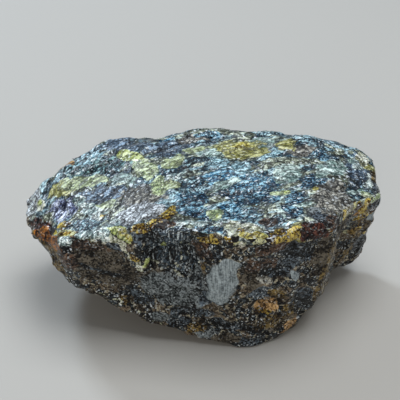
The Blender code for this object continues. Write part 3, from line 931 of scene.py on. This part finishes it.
# %% Lean the crystals and close the tree
LEANS = ((shard, 0.35), (grain, 0.30), (plate["Color"], 0.30))
BUMP, BUMP_DEPTH = 0.5, 0.2  # share, and mm
RESIN_IOR, SHEEN_LEVEL = 1.54, 0.22  # under half the usual 0.5: a weathered skin mirrors less
CLEAR_COLOUR, CLEAR_DENSITY = (0.93, 0.70, 0.03, 1.0), 430.0  # of light inside, per metre
normal = add(shade, "NewGeometry")["Normal"]
for cell, share in LEANS:
    amount = add(shade, "Math", {0: lean, 1: share}, operation="MULTIPLY")[0]
    normal = add(shade, "VectorMath", {0: normal, 1: push(shade, cell, amount)}, operation="ADD")[0]
normal = add(shade, "VectorMath", {0: normal}, operation="NORMALIZE")[0]
normal = add(shade, "Bump", {"Strength": BUMP, "Distance": BUMP_DEPTH * MM, "Height": tone,
                             "Normal": normal})["Normal"]
resin = add(shade, "BsdfPrincipled", {
    "Base Color": colour, "Roughness": rough, "Transmission Weight": clear, "Normal": normal,
    "IOR": RESIN_IOR, "Specular IOR Level": SHEEN_LEVEL})[0]
depth = add(shade, "VolumeAbsorption", {"Color": CLEAR_COLOUR, "Density": CLEAR_DENSITY})[0]
add(shade, "OutputMaterial", {"Surface": resin, "Volume": depth})
print("material:", len(shade.nodes), "nodes")

# %% [markdown]
# ## The relief, grown by Geometry Nodes
#
# The top breaks in long plates that lean on one another like shingles, with fine threads
# between. The crust is clods and crumbs with pits between, and it is ribbed inside the black
# hollow under the rim. Those shapes follow rules, so a node tree makes them: each is a height
# over the skin, all are added up, and the skin is pushed out by the sum. Sculpting would give
# one lump; the tree gives any, and each size can be changed by name.

# %% Name the sizes of the relief, in millimetres
RELIEF = {
    "Seed": 7.0,
    "Warp Size": 3.0, "Warp": 1.4,
    "Plate Length": 3.6, "Plate Width": 1.5, "Plate Step": 0.30, "Plate Lean": 0.28,
    "Thread Length": 3.0, "Thread Width": 1.1, "Thread Height": 0.22,
    "Clod Size": 2.4, "Clod Height": 0.9,
    "Lump Size": 3.2, "Lump Height": 0.6,
    "Crumb Size": 1.2, "Crumb Height": 0.35,
    "Rib Length": 10.0, "Rib Width": 1.6, "Rib Height": 1.8,
    "Grain Size": 0.26, "Grains per Square Centimetre": 8.0,
}
grow = bpy.data.node_groups.new("amber relief", "GeometryNodeTree")
grow.interface.new_socket("Geometry", in_out="INPUT", socket_type="NodeSocketGeometry")
grow.interface.new_socket("Material", in_out="INPUT", socket_type="NodeSocketMaterial")
for name, size in RELIEF.items():
    socket = grow.interface.new_socket(name, in_out="INPUT", socket_type="NodeSocketFloat")
    socket.default_value = size
grow.interface.new_socket("Geometry", in_out="OUTPUT", socket_type="NodeSocketGeometry")
given = add(grow, "NodeGroupInput")
print("sizes:", len(RELIEF))

# %% Read where the skin is and how it faces
TOP_FACING = (0.40, 0.62)  # how far up a normal points where the top starts and where it is whole
TOP_BLUR = 14              # rounds of averaging, so that one flake doesn't turn to crust
TOP_ABOVE = (25.0, 29.0)   # mm, because a ledge lower down is crust as well
SEED_STEP = 13.7           # mm, how far one seed more moves every pattern
shift = add(grow, "Math", {0: given["Seed"], 1: SEED_STEP}, operation="MULTIPLY")[0]
position = add(grow, "GeometryNodeInputPosition")[0]
in_mm = add(grow, "VectorMath", {0: position, "Scale": 1 / MM}, operation="SCALE")[0]
height = add(grow, "SeparateXYZ", {0: in_mm})["Z"]
place = add(grow, "VectorMath", {0: in_mm, 1: shift}, operation="ADD")[0]
flowing = add(grow, "GeometryNodeInputNamedAttribute", {"Name": "flow"},
              data_type="FLOAT_VECTOR")[0]
flowing = add(grow, "VectorMath", {0: flowing, 1: shift}, operation="ADD")[0]
facing = add(grow, "GeometryNodeInputNormal")[0]
broad = add(grow, "GeometryNodeBlurAttribute", {"Value": facing, "Iterations": TOP_BLUR},
            data_type="FLOAT_VECTOR")[0]
up = add(grow, "SeparateXYZ", {0: broad})["Z"]
is_top = add(grow, "MapRange", {"Value": up, "From Min": TOP_FACING[0], "From Max": TOP_FACING[1]},
             interpolation_type="SMOOTHSTEP")["Result"]
is_high = add(grow, "MapRange", {
    "Value": height, "From Min": TOP_ABOVE[0], "From Max": TOP_ABOVE[1]})["Result"]
is_top = add(grow, "Math", {0: is_top, 1: is_high}, operation="MULTIPLY")[0]
told("top and crust told apart", grow)

# %% Bend the coordinates of the plates and the clods
warp_at = add(grow, "VectorMath", {0: place, 1: given["Warp Size"]}, operation="DIVIDE")[0]
warp = add(grow, "TexNoise", {"Vector": warp_at, "Scale": 1.0, "Detail": 2.0})["Color"]
warp = push(grow, warp, given["Warp"])
plate_size = add(grow, "CombineXYZ", {
    "X": given["Plate Length"], "Y": given["Plate Width"], "Z": given["Plate Width"]})[0]
bent_flow = add(grow, "VectorMath", {0: flowing, 1: warp}, operation="ADD")[0]
plate_at = add(grow, "VectorMath", {0: bent_flow, 1: plate_size}, operation="DIVIDE")[0]
bent_place = add(grow, "VectorMath", {0: place, 1: warp}, operation="ADD")[0]
clod_at = add(grow, "VectorMath", {0: bent_place, 1: given["Clod Size"]}, operation="DIVIDE")[0]
told("bent coordinates", grow)


# %% Make a height from a noise
def rolling(where, long, wide, tall):
    """A rolling height: rolls of that length and width in mm, and tall from lowest to highest."""
    size = add(grow, "CombineXYZ", {"X": long, "Y": wide, "Z": wide})[0]
    spread = add(grow, "VectorMath", {0: where, 1: size}, operation="DIVIDE")[0]
    rolls = add(grow, "TexNoise", {"Vector": spread, "Scale": 1.0, "Detail": 2.0})[0]
    centred = add(grow, "Math", {0: rolls, 1: 0.5}, operation="SUBTRACT")[0]
    return add(grow, "Math", {0: centred, 1: tall}, operation="MULTIPLY")[0]


# %% Step and lean the plates of the top, and add the threads
plate = add(grow, "TexVoronoi", {"Vector": plate_at, "Scale": 1.0})
chance = push(grow, plate["Color"], 1.0)
from_middle = add(grow, "VectorMath", {0: plate_at, 1: plate["Position"]}, operation="SUBTRACT")[0]
leaning = add(grow, "VectorMath", {0: chance, 1: from_middle}, operation="DOT_PRODUCT")["Value"]
leaning = add(grow, "Math", {0: leaning, 1: given["Plate Lean"]}, operation="MULTIPLY")[0]
stepped = add(grow, "SeparateXYZ", {0: chance})["X"]
plates = add(grow, "Math", {0: stepped, 1: given["Plate Step"], 2: leaning},
             operation="MULTIPLY_ADD")[0]
threads = rolling(flowing, given["Thread Length"], given["Thread Width"], given["Thread Height"])
told("plates and threads", grow)

# %% Raise the clods, the lumps and the crumbs of the crust, and rib the hollow
CLOD_SLOPE = 0.3  # in clods, how far in from its edge a clod reaches its full height
clod = add(grow, "TexVoronoi", {"Vector": clod_at, "Scale": 1.0})
clod_edge = add(grow, "TexVoronoi", {"Vector": clod_at, "Scale": 1.0},
                feature="DISTANCE_TO_EDGE")["Distance"]
clod_top = add(grow, "MapRange", {"Value": clod_edge, "From Max": CLOD_SLOPE},
               interpolation_type="SMOOTHSTEP")["Result"]
clod_step = add(grow, "SeparateXYZ", {0: push(grow, clod["Color"], 1.0)})["X"]
clods = add(grow, "Math", {0: clod_step, 1: clod_top}, operation="MULTIPLY")[0]
clods = add(grow, "Math", {0: clods, 1: given["Clod Height"]}, operation="MULTIPLY")[0]
lumps = rolling(place, given["Lump Size"], given["Lump Size"], given["Lump Height"])
crumbs = rolling(place, given["Crumb Size"], given["Crumb Size"], given["Crumb Height"])
upright = add(grow, "VectorRotate", {"Vector": place, "Axis": (0, 1, 0), "Angle": math.radians(90)},
              rotation_type="AXIS_ANGLE")[0]
ribs = rolling(upright, given["Rib Length"], given["Rib Width"], given["Rib Height"])
sooty = add(grow, "GeometryNodeInputNamedAttribute", {"Name": "threaded soot"},
            data_type="FLOAT")[0]
ribs = add(grow, "Math", {0: ribs, 1: sooty}, operation="MULTIPLY")[0]
told("crust and ribs", grow)

# %% Add the heights up, calm some finishes and raise or sink others
CALM = {"rub": 0.9, "amber": 0.6, "cherry": 0.4, "dust": 0.35}  # share of the relief taken off
RAISED = {"soot": -0.3, "threaded soot": -0.4, "rub": 0.2, "cherry": -0.2, "cream": 0.3,
          "frost": 0.25, "lime": 0.2, "honey": 0.2}  # mm
CALM_BORDER, RAISED_BORDER = (0.3, 0.6), (0.25, 0.7)  # in the finish's mask
FOOT = (0.2, 2.5)  # mm, where the relief starts above the flat foot and where it is whole
top_height = add(grow, "Math", {0: plates, 1: threads}, operation="ADD")[0]
crust_height = add(grow, "Math", {0: lumps, 1: crumbs}, operation="ADD")[0]
for more in (clods, ribs):
    crust_height = add(grow, "Math", {0: crust_height, 1: more}, operation="ADD")[0]
relief = add(grow, "Mix", {0: is_top, 2: crust_height, 3: top_height})[0]
for name in (*CALM, *RAISED):
    there = add(grow, "GeometryNodeInputNamedAttribute", {"Name": name}, data_type="FLOAT")[0]
    if name in CALM:
        kept = add(grow, "MapRange", {
            "Value": there, "From Min": CALM_BORDER[0], "From Max": CALM_BORDER[1],
            "To Min": 1.0, "To Max": 1 - CALM[name]})["Result"]
        relief = add(grow, "Math", {0: relief, 1: kept}, operation="MULTIPLY")[0]
    if name in RAISED:
        lift = add(grow, "MapRange", {
            "Value": there, "From Min": RAISED_BORDER[0], "From Max": RAISED_BORDER[1],
            "To Max": RAISED[name]}, interpolation_type="SMOOTHSTEP")["Result"]
        relief = add(grow, "Math", {0: relief, 1: lift}, operation="ADD")[0]
off_floor = add(grow, "MapRange", {
    "Value": height, "From Min": FOOT[0], "From Max": FOOT[1]})["Result"]
relief = add(grow, "Math", {0: relief, 1: off_floor}, operation="MULTIPLY")[0]
told("whole relief", grow)

# %% Keep what the material needs, and push the skin out
NEVER_BELOW = (-1.0, -1.0, 0.0)  # metres: out of reach to the sides, and the floor below
lump = given["Geometry"]
for name, value, kind in (("top", is_top, "FLOAT"), ("relief", relief, "FLOAT"),
                          ("rest", place, "FLOAT_VECTOR"), ("plate_at", plate_at, "FLOAT_VECTOR"),
                          ("clod_at", clod_at, "FLOAT_VECTOR")):
    lump = add(grow, "GeometryNodeStoreNamedAttribute", {
        "Geometry": lump, "Name": name, "Value": value}, data_type=kind, domain="POINT")[0]
stored = add(grow, "GeometryNodeInputNamedAttribute", {"Name": "relief"}, data_type="FLOAT")[0]
outward = add(grow, "Math", {0: stored, 1: MM}, operation="MULTIPLY")[0]
outward = add(grow, "VectorMath", {0: facing, "Scale": outward}, operation="SCALE")[0]
lump = add(grow, "GeometryNodeSetPosition", {"Geometry": lump, "Offset": outward})[0]
position = add(grow, "GeometryNodeInputPosition")[0]
position = add(grow, "VectorMath", {0: position, 1: NEVER_BELOW}, operation="MAXIMUM")[0]
lump = add(grow, "GeometryNodeSetPosition", {"Geometry": lump, "Position": position})[0]
told("skin pushed out", grow)

# %% [markdown]
# ## Grit
#
# Sand and crumbs of resin stick to the crust, each a fraction of a millimetre. They are the
# classic job for instances: points scattered over the skin, one small stone on each, turned
# and sized at random, half sunk. The stones have twenty faces, because there are hundreds of
# them. They keep the attributes of the skin under them, so each takes its place's finish.

# %% Choose where the grit sticks
SQUARE_CENTIMETRES = 10000.0  # in a square metre
GRIT_SEED = 5
GRIT_ABOVE = 1.2              # mm, so that the lump stands on its foot and not on grit
BARE = 0.25                   # how much top or rub keeps the grit off
off_ground = add(grow, "FunctionNodeCompare", {0: height, 1: GRIT_ABOVE},
                 operation="GREATER_THAN")[0]
per_area = add(grow, "Math", {0: given["Grains per Square Centimetre"], 1: SQUARE_CENTIMETRES},
               operation="MULTIPLY")[0]
spots = add(grow, "GeometryNodeDistributePointsOnFaces", {
    "Mesh": lump, "Selection": off_ground, "Density": per_area, "Seed": GRIT_SEED},
    distribute_method="RANDOM")
bare = add(grow, "GeometryNodeInputNamedAttribute", {"Name": "top"}, data_type="FLOAT")[0]
rubbed = add(grow, "GeometryNodeInputNamedAttribute", {"Name": "rub"}, data_type="FLOAT")[0]
bare = add(grow, "Math", {0: bare, 1: rubbed}, operation="ADD")[0]
smooth_there = add(grow, "FunctionNodeCompare", {0: bare, 1: BARE}, operation="GREATER_THAN")[0]
spots = add(grow, "GeometryNodeDeleteGeometry", {
    "Geometry": spots["Points"], "Selection": smooth_there}, domain="POINT")[0]
told("places of the grit", grow)

# %% Set a stone on each point and end the tree
STONE_TURNS = {"Min": (0, 0, 0), "Max": (6.28, 6.28, 6.28), "Seed": 1}          # radians
STONE_SIZES = {"Min": (0.5, 0.4, 0.35), "Max": (1.3, 1.0, 0.8), "Seed": 2}      # times Grain Size
radius = add(grow, "Math", {0: given["Grain Size"], 1: MM}, operation="MULTIPLY")[0]
stone = add(grow, "GeometryNodeMeshIcoSphere", {"Radius": radius, "Subdivisions": 1})["Mesh"]
turns, sizes = (add(grow, "FunctionNodeRandomValue", chances, data_type="FLOAT_VECTOR")["Value"]
                for chances in (STONE_TURNS, STONE_SIZES))
grit = add(grow, "GeometryNodeInstanceOnPoints", {
    "Points": spots, "Instance": stone, "Rotation": turns, "Scale": sizes})[0]
whole = add(grow, "GeometryNodeJoinGeometry", {"Geometry": lump})
grow.links.new(grit, whole[0].node.inputs["Geometry"])
whole = add(grow, "GeometryNodeRealizeInstances", {"Geometry": whole[0]})[0]
whole = add(grow, "GeometryNodeSetMaterial", {"Geometry": whole, "Material": given["Material"]})[0]
add(grow, "NodeGroupOutput", {"Geometry": whole})
told("whole tree", grow)

# %% Grow the relief on the skin
growth = skin.modifiers.new("relief", "NODES")
growth.node_group = grow
identifiers = {item.name: item.identifier for item in grow.interface.items_tree
               if item.item_type == "SOCKET" and item.in_out == "INPUT"}
growth[identifiers["Material"]] = amber
for name, size in RELIEF.items():
    growth[identifiers[name]] = size
made = baked(skin)
made.name = "raw_amber_skin"
skin.name = "raw_amber_lump"
made.shade_smooth()
triangles = sum(len(face.vertices) - 2 for face in made.polygons)
print("piece:", triangles, "triangles")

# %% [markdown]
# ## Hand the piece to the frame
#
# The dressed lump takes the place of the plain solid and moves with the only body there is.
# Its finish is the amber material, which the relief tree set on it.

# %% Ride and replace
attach(skin, "root")
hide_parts("raw_amber")
print(skin.name, "stands for raw_amber")

# %% [markdown]
# ## Stage, light and camera
#
# A plain pale floor and soft light. A cool window stands behind the left shoulder, where its
# reflection runs along the flakes of the top. A broad panel hangs overhead, a weak warm one in
# front keeps the crust readable, and an even sky fills what is left. The camera stands a
# forearm's length off, looks down on the lump, and has a long lens, which keeps it true.

# %% Set the stage
FLOOR_SIDE = 3.0  # metres
bpy.ops.mesh.primitive_plane_add(size=FLOOR_SIDE)
floor = bpy.context.object
floor.name = "floor"
paint = bpy.data.materials.new("pale matt board")
paint.use_nodes = True
board = paint.node_tree.nodes["Principled BSDF"]
board.inputs["Base Color"].default_value = linear("#aeaba4")
board.inputs["Roughness"].default_value = 0.8  # matt
floor.data.materials.append(paint)
floor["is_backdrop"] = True
print("floor:", FLOOR_SIDE, "m wide")

# %% Light it
LIGHTS_FACE = Vector((0.0, 0.0, 0.02))  # metres
LIGHTS = {  # place and side in metres, watts, colour
    "window": ((-0.34, 0.46, 0.50), 0.13, 3.0, "#dfeeff"),
    "ceiling": ((0.12, -0.02, 0.79), 0.50, 5.6, "#f2f6fc"),
    "front fill": ((-0.08, -0.64, 0.35), 0.30, 1.0, "#fff3e4"),
}
SKY_TINT, SKY_STRENGTH = "#dfe8f2", 0.28
for name, (place, side, watts, tint) in LIGHTS.items():
    light = bpy.data.lights.new(name, "AREA")
    light.size = side
    light.energy = watts
    light.color = linear(tint)[:3]
    lamp = bpy.data.objects.new(name, light)
    lamp.location = place
    lamp.rotation_euler = (LIGHTS_FACE - lamp.location).to_track_quat("-Z", "Y").to_euler()
    bpy.context.scene.collection.objects.link(lamp)
world = bpy.data.worlds.new("soft sky")
world.use_nodes = True
sky = world.node_tree.nodes["Background"]
sky.inputs["Color"].default_value = linear(SKY_TINT)
sky.inputs["Strength"].default_value = SKY_STRENGTH
bpy.context.scene.world = world
bpy.context.scene.view_settings.view_transform = "Standard"
print("lights:", ", ".join(LIGHTS))

# %% Place the camera
LOOKS_DOWN = 35.0  # degrees
LENS = 100.0       # mm
AIM = Vector((-0.3, 9.5, 25.7)) * MM
DISTANCE = 302.0 * MM
tilt = math.radians(LOOKS_DOWN)
lens = bpy.data.cameras.new("camera")
lens.lens = LENS
camera = bpy.data.objects.new("camera", lens)
camera.location = AIM + DISTANCE * Vector((0, -math.cos(tilt), math.sin(tilt)))
camera.rotation_euler = (math.pi / 2 - tilt, 0, 0)
bpy.context.scene.collection.objects.link(camera)
bpy.context.scene.camera = camera
print("camera at, mm:", [round(part / MM) for part in camera.location])

# %% Measure the two boxes
visual_low, visual_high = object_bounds()
sizes = {"cad": [list(solid_low), list(solid_high)],
         "visual": [list(visual_low), list(visual_high)]}
print("visual, mm:", [round(side / MM, 1) for side in visual_high - visual_low])
